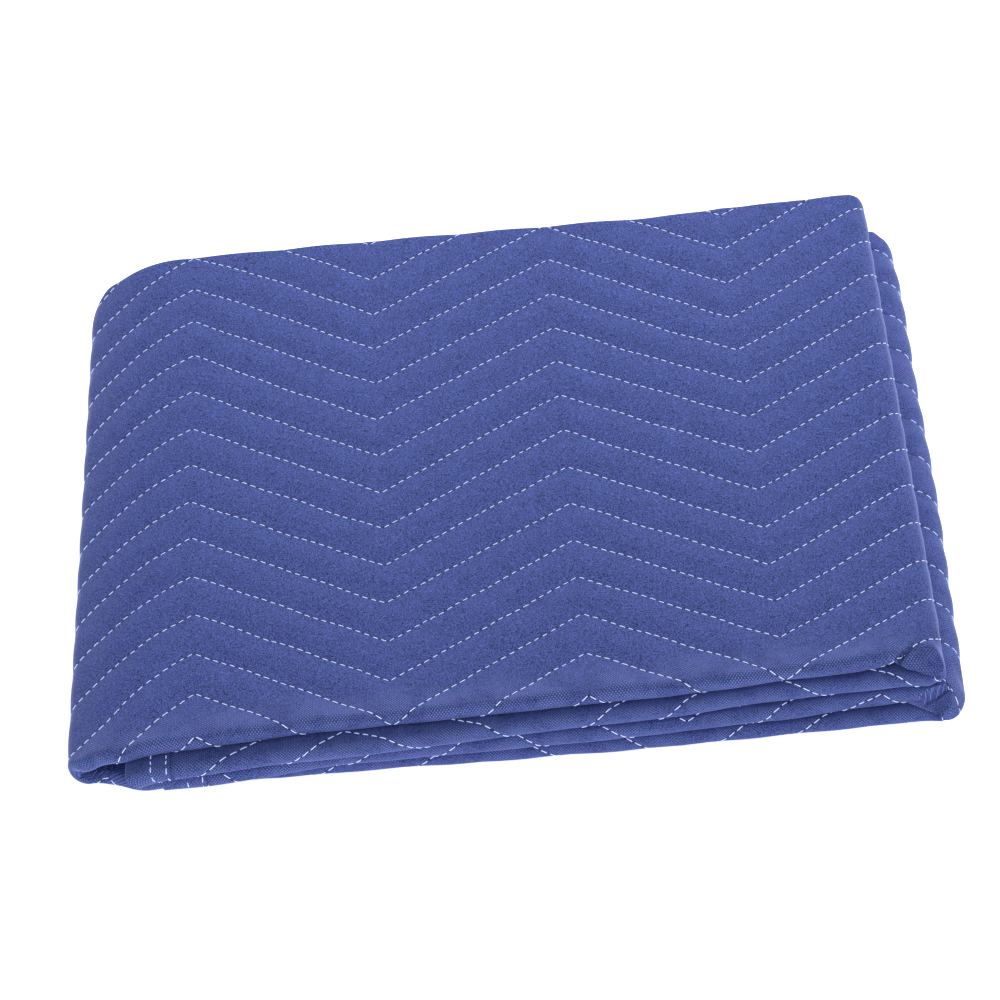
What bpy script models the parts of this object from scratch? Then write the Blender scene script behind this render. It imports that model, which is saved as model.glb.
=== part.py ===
# A moving blanket, folded and lying flat: quilted cloth with a binding tape over each of its two ends.
#
# The cloth is folded twice along its length, the sides in and then in half at the front, which makes a
# strip four plies deep. The strip is then folded into four levels. It starts inside the stack at the left,
# runs right, turns back at the right as the top level, wraps round the whole left side, runs right again
# as the bottom level, turns back at the right and ends inside the stack, above the bottom level.
# Metres, +X right, +Y to the back, +Z up. The origin is under the middle of the stack, on its underside.

import math

import bmesh
import bpy
import numpy as np

CLOTH_THICK = 0.0024
PLY_PITCH = 0.0028
LEVEL_PITCH = 0.0116
HALF_WIDTH = 0.888

BINDING_WIDTH = 0.026
BINDING_THICK = 0.0005
BINDING_GAP = 0.0003
STEP_LENGTH = 0.001

# Lines under the bindings, at these distances from the end, where cloth and tape bend together.
BINDING_LINES = np.array([0.0095, 0.0178])

# The inner and outer plies lie this far each side of the strip's middle. The tight turns between them are
# at the back, and the outer plies meet in the front fold.
INNER_PLY = PLY_PITCH / 2
OUTER_PLY = INNER_PLY + PLY_PITCH
BACK_RADIUS = PLY_PITCH / 2
STRIP_THICK = 2 * OUTER_PLY + CLOTH_THICK

# The inner plies end at least this far behind the middle of the front fold.
EDGE_ROOM = 0.002

# Left of this x nothing holds the upper levels up, as the inner levels stop short of the wrap. They droop
# there in a long arc down to a slope, and the wrap goes on from it in a tight arc to the bottom level.
DROOP_X = -0.1972
DROOP_RADIUS = 0.090
DROOP_ANGLE = math.radians(38.5)
WRAP_RADIUS = (3 * LEVEL_PITCH - DROOP_RADIUS * (1 - math.cos(DROOP_ANGLE))) / (1 + math.cos(DROOP_ANGLE))
BOTTOM_LEFT_X = DROOP_X - (DROOP_RADIUS - WRAP_RADIUS) * math.sin(DROOP_ANGLE)

# The two ends of the strip droop too. The upper one follows the top level, which lies one level further
# out on the same arc. The lower one only eases down a little onto the bottom level.
UPPER_END_RADIUS = DROOP_RADIUS - LEVEL_PITCH
UPPER_END_X = -0.2241
UPPER_END_ANGLE = math.asin((DROOP_X - UPPER_END_X) / UPPER_END_RADIUS)
LOWER_END_RADIUS = 0.156
LOWER_END_X = -0.2051
LOWER_END_ANGLE = math.asin((DROOP_X - LOWER_END_X) / LOWER_END_RADIUS)

# The strip's two double folds at the right are half turns, one level high.
UPPER_RIGHT_X = 0.2367
LOWER_RIGHT_X = 0.2512
HALF_LEVEL = LEVEL_PITCH / 2

# The strip's route from its upper end: straight runs and arcs, each turning the strip's heading by its
# angle, positive from right to up. Steps is the number of steps along each.
ROUTE = (
    {"name": "upper end", "radius": UPPER_END_RADIUS, "angle": -UPPER_END_ANGLE, "steps": 3},
    {"name": "upper inner", "run": UPPER_RIGHT_X - DROOP_X, "angle": 0.0, "steps": 6},
    {"name": "upper right turn", "radius": HALF_LEVEL, "angle": math.pi, "steps": 8},
    {"name": "top", "run": UPPER_RIGHT_X - DROOP_X, "angle": 0.0, "steps": 6},
    {"name": "droop", "radius": DROOP_RADIUS, "angle": DROOP_ANGLE, "steps": 7},
    {"name": "wrap", "radius": WRAP_RADIUS, "angle": math.pi - DROOP_ANGLE, "steps": 10},
    {"name": "bottom left", "run": 0.045, "angle": 0.0, "steps": 5},
    {"name": "bottom", "run": LOWER_RIGHT_X - BOTTOM_LEFT_X - 0.045, "angle": 0.0, "steps": 6},
    {"name": "lower right turn", "radius": HALF_LEVEL, "angle": math.pi, "steps": 8},
    {"name": "lower inner", "run": LOWER_RIGHT_X - DROOP_X, "angle": 0.0, "steps": 6},
    {"name": "lower end", "radius": LOWER_END_RADIUS, "angle": LOWER_END_ANGLE, "steps": 2},
)
FOLD_STEPS = 4
BACK_STEPS = 6
END_STEPS = 6

# What changes along the strip, at some places on its runs and turns, each a share of the way along one.
# Front and back are the y of the strip's front and back edges. Spine is how far the front fold lies from
# the cloth's middle line. Slant is how much further right the strip lies at its back than at its front.
STATIONS = (
    {"on": "upper end", "share": 0.90, "front": -0.2414, "back": 0.233, "spine": -0.008, "slant": 0.009},
    {"on": "upper inner", "share": 0.14, "front": -0.2368, "back": 0.233, "spine": -0.006, "slant": 0.008},
    {"on": "upper inner", "share": 0.625, "front": -0.2284, "back": 0.234, "spine": -0.001, "slant": 0.002},
    {"on": "upper inner", "share": 0.807, "front": -0.2228, "back": 0.236, "spine": 0.002, "slant": 0.0},
    {"on": "upper right turn", "share": 0.0, "front": -0.2207, "back": 0.238, "spine": 0.004, "slant": 0.0},
    {"on": "upper right turn", "share": 0.5, "front": -0.2145, "back": 0.239, "spine": 0.006, "slant": 0.0},
    {"on": "top", "share": 0.0, "front": -0.2155, "back": 0.2414, "spine": 0.007, "slant": 0.0},
    {"on": "top", "share": 0.164, "front": -0.2178, "back": 0.239, "spine": 0.005, "slant": 0.0},
    {"on": "top", "share": 0.35, "front": -0.2226, "back": 0.238, "spine": 0.002, "slant": 0.002},
    {"on": "top", "share": 0.80, "front": -0.2254, "back": 0.2405, "spine": -0.004, "slant": 0.007},
    {"on": "droop", "share": 0.10, "front": -0.2306, "back": 0.2405, "spine": -0.006, "slant": 0.009},
    {"on": "droop", "share": 0.45, "front": -0.2306, "back": 0.2400, "spine": -0.006, "slant": 0.009},
    {"on": "droop", "share": 0.85, "front": -0.2232, "back": 0.2365, "spine": -0.006, "slant": 0.009},
    {"on": "wrap", "share": 0.45, "front": -0.2130, "back": 0.2185, "spine": -0.005, "slant": 0.009},
    {"on": "bottom left", "share": 0.0, "front": -0.2132, "back": 0.226, "spine": -0.003, "slant": 0.009},
    {"on": "bottom left", "share": 0.75, "front": -0.2232, "back": 0.235, "spine": -0.003, "slant": 0.009},
    {"on": "bottom", "share": 0.03, "front": -0.2224, "back": 0.235, "spine": -0.003, "slant": 0.009},
    {"on": "lower right turn", "share": 0.0, "front": -0.2265, "back": 0.228, "spine": 0.0, "slant": 0.006},
    {"on": "lower right turn", "share": 0.5, "front": -0.2180, "back": 0.218, "spine": 0.0, "slant": 0.006},
    {"on": "lower inner", "share": 0.0, "front": -0.2195, "back": 0.229, "spine": 0.0, "slant": 0.006},
    {"on": "lower inner", "share": 0.226, "front": -0.2262, "back": 0.232, "spine": -0.001, "slant": 0.006},
    {"on": "lower inner", "share": 0.462, "front": -0.2293, "back": 0.232, "spine": -0.002, "slant": 0.007},
    {"on": "lower inner", "share": 0.78, "front": -0.2293, "back": 0.231, "spine": -0.005, "slant": 0.008},
    {"on": "lower inner", "share": 0.965, "front": -0.2370, "back": 0.231, "spine": -0.005, "slant": 0.009},
)
MIDDLE_DEPTH = 0.460

CLOTH_COLOUR = (0.065, 0.10, 0.36, 1.0)
BINDING_COLOUR = (0.055, 0.085, 0.33, 1.0)


def clear_scene():
    for obj in list(bpy.data.objects):
        bpy.data.objects.remove(obj, do_unlink=True)


def smooth_step(value):
    value = np.clip(value, 0.0, 1.0)
    return value * value * (3.0 - 2.0 * value)


def level_height(rank):
    return STRIP_THICK / 2 + rank * LEVEL_PITCH


# How long each piece of the route is. An arc that turns like the folds is as long as its outermost ply,
# which stays unstretched, while its radius is that of the strip's middle.
def piece_length(piece):
    if piece["angle"] == 0.0:
        return piece["run"]
    return abs(piece["angle"]) * (piece["radius"] + (OUTER_PLY if piece["angle"] > 0.0 else 0.0))


LENGTHS = np.array([piece_length(piece) for piece in ROUTE])
STARTS = np.concatenate([[0.0], np.cumsum(LENGTHS)[:-1]])
FLAT_LENGTH = float(LENGTHS.sum())


# How far along the strip each row of the table of stations is.
def station_places():
    order = [piece["name"] for piece in ROUTE]
    on = [order.index(station["on"]) for station in STATIONS]
    return STARTS[on] + LENGTHS[on] * np.array([station["share"] for station in STATIONS])


PLACES = station_places()


# One column of the table of stations, eased from each station to the next with a smooth step.
def along_strip(column, s):
    values = np.array([station[column] for station in STATIONS])
    index = np.clip(np.searchsorted(PLACES, s, side="right") - 1, 0, len(PLACES) - 2)
    share = smooth_step((s - PLACES[index]) / (PLACES[index + 1] - PLACES[index]))
    return values[index] + (values[index + 1] - values[index]) * share


# The strip's middle line in the x-z plane, with the direction that points out of the folds, a quarter
# turn right of its heading. Each piece adds its straight run or its arc to where the one before ended.
def strip_line(s):
    x = np.full_like(s, UPPER_END_X)
    z = np.full_like(s, level_height(2) - UPPER_END_RADIUS * (1 - math.cos(UPPER_END_ANGLE)))
    heading = np.full_like(s, UPPER_END_ANGLE)
    begin = UPPER_END_ANGLE
    for piece, start, length in zip(ROUTE, STARTS, LENGTHS):
        done = np.clip((s - start) / length, 0.0, 1.0)
        if piece["angle"] == 0.0:
            x = x + math.cos(begin) * piece["run"] * done
        else:
            radius = math.copysign(piece["radius"], piece["angle"])
            turned = begin + piece["angle"] * done
            x = x + radius * (np.sin(turned) - math.sin(begin))
            z = z + radius * (math.cos(begin) - np.cos(turned))
            heading = heading + piece["angle"] * done
        begin += piece["angle"]
    return x, z, np.sin(heading), -np.cos(heading)


# The section across the strip, at distance u from its front fold, positive on the outer plies.
# It is the same both ways from the fold: a quarter round the fold, a ply back, a tight half turn, and a
# ply forward inside the first, eased in where it would reach the fold before its edge does. Rise is along
# the strip's outward direction, h away from the cloth's middle, and edge is the distance to the long edge.
def strip_section(u, h, front, back, edge):
    side = np.where(u < 0.0, -1.0, 1.0)
    far = np.abs(u)
    quarter = math.pi / 2 * OUTER_PLY
    fold_y = front + CLOTH_THICK / 2 + OUTER_PLY
    turn_y = back - CLOTH_THICK / 2 - BACK_RADIUS
    ply = turn_y - fold_y

    first = np.minimum(far, quarter) / OUTER_PLY
    out_rise = side * np.sin(first)
    out_y = -np.cos(first)
    rise = out_rise * OUTER_PLY
    y = fold_y + out_y * OUTER_PLY + np.clip(far - quarter, 0.0, ply)

    second = np.clip(far - quarter - ply, 0.0, math.pi * BACK_RADIUS) / BACK_RADIUS
    turning = far > quarter + ply
    rise = rise + np.where(turning, side * BACK_RADIUS * (np.cos(second) - 1.0), 0.0)
    y = y + np.where(turning, BACK_RADIUS * np.sin(second), 0.0)
    inner = edge - quarter - ply - math.pi * BACK_RADIUS
    eased = np.minimum(1.0, (ply - EDGE_ROOM) / inner)
    y = y - eased * np.maximum(far - quarter - ply - math.pi * BACK_RADIUS, 0.0)
    out_rise = np.where(turning, side * np.cos(second), out_rise)
    out_y = np.where(turning, np.sin(second), out_y)
    return rise + h * out_rise, y + h * out_y


# A point of the cloth carried to its place: s along it, u across it from the front fold, h off its middle.
def folded(s, u, h):
    x, z, out_x, out_z = strip_line(s)
    edge = HALF_WIDTH - np.sign(u) * along_strip("spine", s)
    rise, y = strip_section(u, h, along_strip("front", s), along_strip("back", s), edge)
    x = x + out_x * rise + along_strip("slant", s) * y / MIDDLE_DEPTH
    return np.stack([x, y, z + out_z * rise], axis=-1)


# Lines along the strip: even steps on each piece of the route. Each bound end has a short step in its
# thickness.
def lines_along():
    lines = [start + length * np.arange(piece["steps"]) / piece["steps"]
             for piece, start, length in zip(ROUTE, STARTS, LENGTHS)]
    ends = [CLOTH_THICK / 2, *BINDING_LINES, BINDING_WIDTH + BINDING_GAP, BINDING_WIDTH + STEP_LENGTH]
    ends = np.array(ends)
    lines = np.concatenate(lines)
    room = ends[-1] + 0.004
    inside = lines[(lines > room) & (lines < FLAT_LENGTH - room)]
    return np.concatenate([ends, inside, FLAT_LENGTH - ends[::-1]])


# Lines across the cloth from the front fold to one long edge, at one place along the strip: the round of
# the fold, the middle of the outer ply, the tight turn at the back, the middle of the inner ply, the edge.
def lines_to_edge(front, back, edge):
    quarter = math.pi / 2 * OUTER_PLY
    ply = back - front - CLOTH_THICK - OUTER_PLY - BACK_RADIUS
    fold = np.linspace(0.0, quarter, FOLD_STEPS + 1)
    turn = quarter + ply + np.linspace(0.0, math.pi * BACK_RADIUS, BACK_STEPS + 1)
    return np.concatenate([fold, [quarter + ply / 2], turn, [(turn[-1] + edge) / 2, edge]])


def lines_across(s):
    front, back, spine = (along_strip(column, s) for column in ("front", "back", "spine"))
    under = lines_to_edge(front, back, HALF_WIDTH + spine)
    over = lines_to_edge(front, back, HALF_WIDTH - spine)
    return np.concatenate([-under[:0:-1], over])


def new_material(name, colour, roughness):
    material = bpy.data.materials.new(name)
    material.use_nodes = True
    shader = material.node_tree.nodes["Principled BSDF"]
    shader.inputs["Base Color"].default_value = colour
    shader.inputs["Roughness"].default_value = roughness
    shader.inputs["Metallic"].default_value = 0.0
    return material


# A flat grid with a vertex for each point of an array of columns and rows, moved to those points and
# thickened evenly both ways. Thin columns keep only a share of the thickness.
def folded_sheet(name, points, thickness, material, parts, thin_columns=(), thin_share=1.0):
    columns, rows = points.shape[:2]
    mesh = bpy.data.meshes.new(name)
    sheet = bpy.data.objects.new(name, mesh)
    parts.objects.link(sheet)
    grid = bmesh.new()
    bmesh.ops.create_grid(grid, x_segments=columns - 1, y_segments=rows - 1, size=0.5)
    column_of = [round((vertex.co.x + 0.5) * (columns - 1)) for vertex in grid.verts]
    row_of = [round((vertex.co.y + 0.5) * (rows - 1)) for vertex in grid.verts]
    for vertex, column, row in zip(grid.verts, column_of, row_of):
        vertex.co = points[column, row]
    grid.to_mesh(mesh)
    grid.free()
    mesh.materials.append(material)
    mesh.shade_smooth()

    full = sheet.vertex_groups.new(name="full thickness")
    thick = [index for index, column in enumerate(column_of) if column not in thin_columns]
    full.add(thick, 1.0, "REPLACE")
    shell = sheet.modifiers.new("Thickness", "SOLIDIFY")
    shell.thickness = thickness
    shell.offset = 0.0
    shell.vertex_group = full.name
    shell.thickness_vertex_group = thin_share
    return sheet


# The whole cloth is one sheet. Its two ends are pressed thin inside their bindings.
def make_cloth(parts):
    s = lines_along()
    u = np.array([lines_across(place) for place in s])
    points = folded(np.repeat(s[:, None], u.shape[1], axis=1), u, 0.0)
    pressed = CLOTH_THICK - 2 * (BINDING_THICK + BINDING_GAP)
    covered = len(BINDING_LINES) + 2
    thin = {*range(covered), *range(len(s) - covered, len(s))}
    material = new_material("quilted cloth", CLOTH_COLOUR, 0.9)
    folded_sheet("blanket", points, CLOTH_THICK, material, parts, thin, pressed / CLOTH_THICK)


# A tape folded in half over one end of the cloth, flush with the cloth's faces. Its profile runs from
# one selvedge round the end to the other, and every point of it follows the cloth's own folds.
def make_binding(name, at_start, material, parts):
    middle = (CLOTH_THICK - BINDING_THICK) / 2
    angles = np.linspace(math.pi / 2, -math.pi / 2, END_STEPS + 1)
    reach = CLOTH_THICK / 2 - middle * np.cos(angles)
    face = np.array([*BINDING_LINES, BINDING_WIDTH])
    reach = np.concatenate([face[::-1], reach, face])
    height = np.concatenate([face * 0 + middle, middle * np.sin(angles), face * 0 - middle])
    s = reach if at_start else FLAT_LENGTH - reach
    u = lines_across(0.0 if at_start else FLAT_LENGTH)
    rows = np.repeat(u[None, :], len(s), axis=0)
    points = folded(np.repeat(s[:, None], len(u), axis=1), rows, height[:, None])
    folded_sheet(name, points, BINDING_THICK, material, parts)


clear_scene()
blanket_parts = bpy.data.collections.new("folded moving blanket")
bpy.context.scene.collection.children.link(blanket_parts)
make_cloth(blanket_parts)
tape = new_material("binding tape", BINDING_COLOUR, 0.85)
make_binding("binding_upper_end", True, tape, blanket_parts)
make_binding("binding_lower_end", False, tape, blanket_parts)
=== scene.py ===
import functools
import math

import bmesh
import bpy
import numpy as np
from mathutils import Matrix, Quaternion, Vector


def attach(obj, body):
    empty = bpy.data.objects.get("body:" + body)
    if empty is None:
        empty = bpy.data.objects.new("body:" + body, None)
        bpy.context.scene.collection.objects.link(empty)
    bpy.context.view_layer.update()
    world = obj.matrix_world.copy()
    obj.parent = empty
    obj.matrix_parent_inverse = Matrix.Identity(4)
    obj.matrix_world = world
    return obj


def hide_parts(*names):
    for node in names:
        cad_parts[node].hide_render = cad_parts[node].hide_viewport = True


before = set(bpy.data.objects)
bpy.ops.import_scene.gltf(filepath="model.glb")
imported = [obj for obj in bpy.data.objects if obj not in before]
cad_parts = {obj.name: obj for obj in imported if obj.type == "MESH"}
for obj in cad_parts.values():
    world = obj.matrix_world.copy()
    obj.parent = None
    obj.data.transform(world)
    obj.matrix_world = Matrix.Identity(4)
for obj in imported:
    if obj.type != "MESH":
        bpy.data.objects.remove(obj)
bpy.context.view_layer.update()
print("frame loaded:", sorted(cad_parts))


# A table with named columns: one dictionary for each row, with the names given in one string.
def makeTable(columns, rows):
    return [dict(zip(columns.split(), row)) for row in rows]


# The same for values along the strip, with the rows grouped by the piece of the strip that they are on.
def stripTable(columns, pieces):
    rows = [(on, *row) for on, group in pieces.items() for row in group]
    return makeTable("on " + columns, rows)


# The smooth step 3v^2 - 2v^3, where v is the share of the way from zeroAt to oneAt, held between 0 and 1.
def ramp(value, zeroAt, oneAt):
    share = np.clip((value - zeroAt) / (oneAt - zeroAt), 0.0, 1.0)
    return share * share * (3.0 - 2.0 * share)


# The folded shape, in metres, with the same sizes as the solids. The cloth is folded along its length
# into a strip four plies deep, with a rounded fold at the front and two tight ones at the back, and
# the strip is folded into four levels. s runs along the cloth and u across it from the front fold.
# Left of droopX the upper levels droop in a long arc to a slope, then wrap round to the bottom level.
# Where the front fold is at middleFront, the cloth's middle lies along it.
folding = {
    "clothThick": 0.0024,
    "plyPitch": 0.0028,
    "levelPitch": 0.0116,
    "halfWidth": 0.888,
    "edgeRoom": 0.002,
    "upperRightX": 0.2367,
    "lowerRightX": 0.2512,
    "droopX": -0.1972,
    "droopRadius": 0.090,
    "droopAngle": math.radians(38.5),
    "upperEndX": -0.2241,
    "lowerEndX": -0.2051,
    "lowerEndRadius": 0.156,
    "middleDepth": 0.460,
    "middleFront": -0.2232,
}
halfCloth = folding["clothThick"] / 2
outerPly = 1.5 * folding["plyPitch"]
backRadius = 0.5 * folding["plyPitch"]
stripThick = 2 * outerPly + folding["clothThick"]
quarterFold = math.pi / 2 * outerPly
backFold = math.pi * backRadius
nudge = 0.0004  # a short way along or off the cloth, for working out directions

# Along the strip: y of its front and back edges, and how far its back is turned to the right, with the
# same turn of the quilting. The shift is how far the front fold is from the cloth's middle.
stations = stripTable("share front back slant shear", {
    "upperEnd": [(0.90, -0.2414, 0.233, 0.009, 0.0)],
    "upperInner": [(0.14, -0.2368, 0.233, 0.008, 0.0), (0.625, -0.2284, 0.234, 0.002, 0.0),
        (0.807, -0.2222, 0.236, 0.0, 0.0), (0.9, -0.2208, 0.237, 0.0, 0.0)],
    "upperRight": [(0.0, -0.2199, 0.238, 0.0, 0.0), (0.25, -0.2180, 0.2385, 0.0, 0.0),
        (0.5, -0.2206, 0.239, 0.0, 0.0), (0.8, -0.2210, 0.241, 0.0, 0.0)],
    "top": [(0.0, -0.2195, 0.241, 0.0, 0.0), (0.0184, -0.2170, 0.2414, 0.0, 0.0),
        (0.0477, -0.2128, 0.2414, 0.0, 0.0), (0.069, -0.2154, 0.2408, 0.0, 0.0),
        (0.095, -0.2168, 0.24, 0.0, 0.0), (0.164, -0.2178, 0.2402, 0.0, 0.0),
        (0.30, -0.2216, 0.2367, 0.0015, 0.0015), (0.35, -0.2226, 0.238, 0.002, 0.002),
        (0.80, -0.2254, 0.2405, 0.007, 0.007)],
    "droop": [(0.10, -0.2306, 0.2405, 0.009, 0.009), (0.45, -0.2306, 0.2400, 0.009, 0.009),
        (0.85, -0.2232, 0.2385, 0.009, 0.009)],
    "wrap": [(0.45, -0.2130, 0.2185, 0.009, 0.009)],
    "bottom": [(0.0, -0.2132, 0.226, 0.009, 0.009), (0.068, -0.2232, 0.235, 0.009, 0.009),
        (0.118, -0.2224, 0.235, 0.009, 0.009), (0.30, -0.2236, 0.2344, 0.0086, 0.009),
        (0.523, -0.2264, 0.2326, 0.0074, 0.009), (0.641, -0.2276, 0.2316, 0.0067, 0.009),
        (0.89, -0.2266, 0.2305, 0.006, 0.009)],
    "lowerRight": [(0.0, -0.2252, 0.2295, 0.006, 0.009), (0.35, -0.2228, 0.217, 0.006, 0.009),
        (0.5, -0.2256, 0.216, 0.006, 0.009), (0.8, -0.2286, 0.224, 0.006, 0.009)],
    "lowerInner": [(0.0, -0.2290, 0.2305, 0.006, 0.009), (0.014, -0.2268, 0.2305, 0.006, 0.009),
        (0.026, -0.2240, 0.2305, 0.006, 0.009), (0.047, -0.2206, 0.2307, 0.006, 0.009),
        (0.1, -0.2218, 0.231, 0.006, 0.009), (0.226, -0.2262, 0.232, 0.006, 0.009),
        (0.462, -0.2293, 0.232, 0.007, 0.009), (0.78, -0.2293, 0.231, 0.008, 0.009),
        (0.965, -0.2370, 0.231, 0.009, 0.009)],
})
for row in stations:
    row["shift"] = round(row["front"] - folding["middleFront"], 4)


# The height of a level's middle, from 0 at the bottom to 3 at the top.
def levelHeight(rank):
    return stripThick / 2 + rank * folding["levelPitch"]


# The strip's pieces from its upper end: a run's length, or the radius of an arc's middle line and the angle
# it turns by, positive from right to up. Each is kept with its start and the angle there. An arc that
# turns like the folds is as long as its outermost ply.
def makeRoute():
    droop, half = folding["droopAngle"], folding["levelPitch"] / 2
    droopRadius, droopX, lowerRadius = folding["droopRadius"], folding["droopX"], folding["lowerEndRadius"]
    wrapRadius = (6 * half - droopRadius * (1 - math.cos(droop))) / (1 + math.cos(droop))
    wrapX = droopX - (droopRadius - wrapRadius) * math.sin(droop)
    endRadius = droopRadius - 2 * half
    endAngle = math.asin((droopX - folding["upperEndX"]) / endRadius)
    lowerAngle = math.asin((droopX - folding["lowerEndX"]) / lowerRadius)
    upperRun, lowerRun = folding["upperRightX"] - droopX, folding["lowerRightX"] - droopX
    pieces = [
        ("upperEnd", endRadius, -endAngle), ("upperInner", upperRun, 0.0), ("upperRight", half, math.pi),
        ("top", upperRun, 0.0), ("droop", droopRadius, droop), ("wrap", wrapRadius, math.pi - droop),
        ("bottom", folding["lowerRightX"] - wrapX, 0.0), ("lowerRight", half, math.pi),
        ("lowerInner", lowerRun, 0.0), ("lowerEnd", lowerRadius, lowerAngle),
    ]
    made = {}
    start, begin = 0.0, endAngle
    for name, size, angle in pieces:
        length = size if angle == 0.0 else abs(angle) * (size + (outerPly if angle > 0.0 else 0.0))
        made[name] = {"start": start, "length": length, "size": size, "begin": begin, "angle": angle}
        start += length
        begin += angle
    return made, start


route, flatLength = makeRoute()


# The place along the strip at this share of one of its pieces.
def placeOn(name, share):
    return route[name]["start"] + share * route[name]["length"]


# One column of a table at s, each value joined to the next by a smooth step.
def alongStrip(column, s, table=stations):
    places = np.array([placeOn(row["on"], row["share"]) for row in table])
    values = np.array([row[column] for row in table])
    index = np.clip(np.searchsorted(places, s, side="right") - 1, 0, len(values) - 2)
    return values[index] + (values[index + 1] - values[index]) * ramp(s, places[index], places[index + 1])


# The y of the strip's front and back edges.
def edgesAt(s):
    return alongStrip("front", s), alongStrip("back", s)


# How far s is past the start of one of the strip's pieces.
def past(name, s):
    return s - route[name]["start"]


# The strip's middle line in x and z, where each piece adds its run or arc, and the direction out of the
# folds, a quarter turn right of the heading.
def stripLine(s):
    endRadius, endAngle = route["upperEnd"]["size"], route["upperEnd"]["begin"]
    x = np.full_like(s, folding["upperEndX"])
    z = np.full_like(s, levelHeight(2) - endRadius * (1 - math.cos(endAngle)))
    heading = np.full_like(s, endAngle)
    for piece in route.values():
        done = np.clip((s - piece["start"]) / piece["length"], 0.0, 1.0)
        begin = piece["begin"]
        if piece["angle"] == 0.0:
            x = x + math.cos(begin) * piece["size"] * done
        else:
            radius = math.copysign(piece["size"], piece["angle"])
            turned = begin + piece["angle"] * done
            x = x + radius * (np.sin(turned) - math.sin(begin))
            z = z + radius * (math.cos(begin) - np.cos(turned))
            heading = heading + piece["angle"] * done
    return x, z, np.sin(heading), -np.cos(heading)


# How far across from the front fold the tight turn at the back begins: a quarter circle, then the ply.
def backTurn(front, back):
    return quarterFold + back - front - folding["clothThick"] - outerPly - backRadius


# How far from the front fold the long edge lies, on the side that u is on.
def edgePlace(s, u):
    return folding["halfWidth"] - np.sign(u) * alongStrip("shift", s)


# Across the strip: a quarter circle round the front fold, a straight ply back, a tight half circle and a
# straight ply forward inside it, mirrored for the other half. h is measured off the cloth's middle.
def stripSection(u, h, front, back, edge):
    side = np.where(u < 0.0, -1.0, 1.0)
    far = np.abs(u)
    turn = backTurn(front, back)
    first = np.minimum(far, quarterFold) / outerPly
    second = np.clip(far - turn, 0.0, backFold) / backRadius
    rise = side * (np.sin(first) * outerPly + backRadius * (np.cos(second) - 1.0))
    y = front + halfCloth + outerPly * (1.0 - np.cos(first)) + backRadius * np.sin(second)
    y = y + np.clip(far - quarterFold, 0.0, turn - quarterFold)
    eased = np.minimum(1.0, (turn - quarterFold - folding["edgeRoom"]) / (edge - turn - backFold))
    y = y - eased * np.maximum(far - turn - backFold, 0.0)
    outRise = side * np.where(far > turn, np.cos(second), np.sin(first))
    outY = np.where(far > turn, np.sin(second), -np.cos(first))
    return rise + h * outRise, y + h * outY


# The quilting: zigzag rows, parallel across the cloth. Leg is the length of half a zigzag along the
# cloth and reach how far it goes across. A peak of the rows is at peakX on the top and one row at peakRow.
# On the top, a place across the cloth is y once frontY is added, and one along it is topOrigin less x.
quilting = {
    "rowPitch": 0.03534,
    "leg": 0.114,
    "reach": 0.0758,
    "peakX": 0.0404,
    "peakRow": 0.4248,
    "wander": 0.0005,
    "frontY": -0.2244,
    "lines": (-40, 18),
    "searchSteps": 6,
    "searchEase": 1.15,
}
topOrigin = route["top"]["start"] + folding["upperRightX"]
peakPlace = topOrigin - quilting["peakX"]
rowWaves = makeTable("high along across phase", [(1.0, 71.0, 143.0, 0.0), (0.6, 163.0, -97.0, 1.3)])

# How far the sewn rows have slipped along and across the cloth on the levels below the top, where the
# cloth is also gathered a little over the front folds, by this share of the distance from the fold.
slips = stripTable("share along across gather", {
    "upperEnd": [(0.95, 0.0, 0.0090, 0.0)],
    "upperInner": [(0.12, 0.0069, 0.0090, 0.35), (0.33, 0.0069, 0.0042, 0.35), (0.54, 0.0069, 0.0125, 0.35),
        (0.67, 0.0069, 0.0066, 0.35), (0.84, 0.0069, 0.0125, 0.35), (0.98, 0.0069, 0.0108, 0.35)],
    "upperRight": [(0.9, 0.0, 0.0, 0.0)],
    "droop": [(0.6, 0.0, 0.0, 0.0)],
    "bottom": [(0.02, 0.0046, 0.0117, 0.0), (0.15, -0.0070, 0.0160, 0.35), (0.38, -0.0070, 0.0162, 0.35),
        (0.53, -0.0070, 0.0092, 0.35), (0.64, -0.0070, 0.0080, 0.35), (0.73, -0.0070, 0.0145, 0.35),
        (0.84, -0.0070, 0.0089, 0.35)],
    "lowerInner": [(0.07, -0.0067, 0.0058, 0.35), (0.13, -0.0067, 0.0105, 0.35),
        (0.33, -0.0067, 0.0034, 0.35), (0.44, -0.0067, 0.0085, 0.35), (0.62, -0.0067, 0.0102, 0.35),
        (0.76, -0.0067, 0.0077, 0.35), (0.95, 0.0, 0.0077, 0.0)],
})
gatherReach = 0.016

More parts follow.
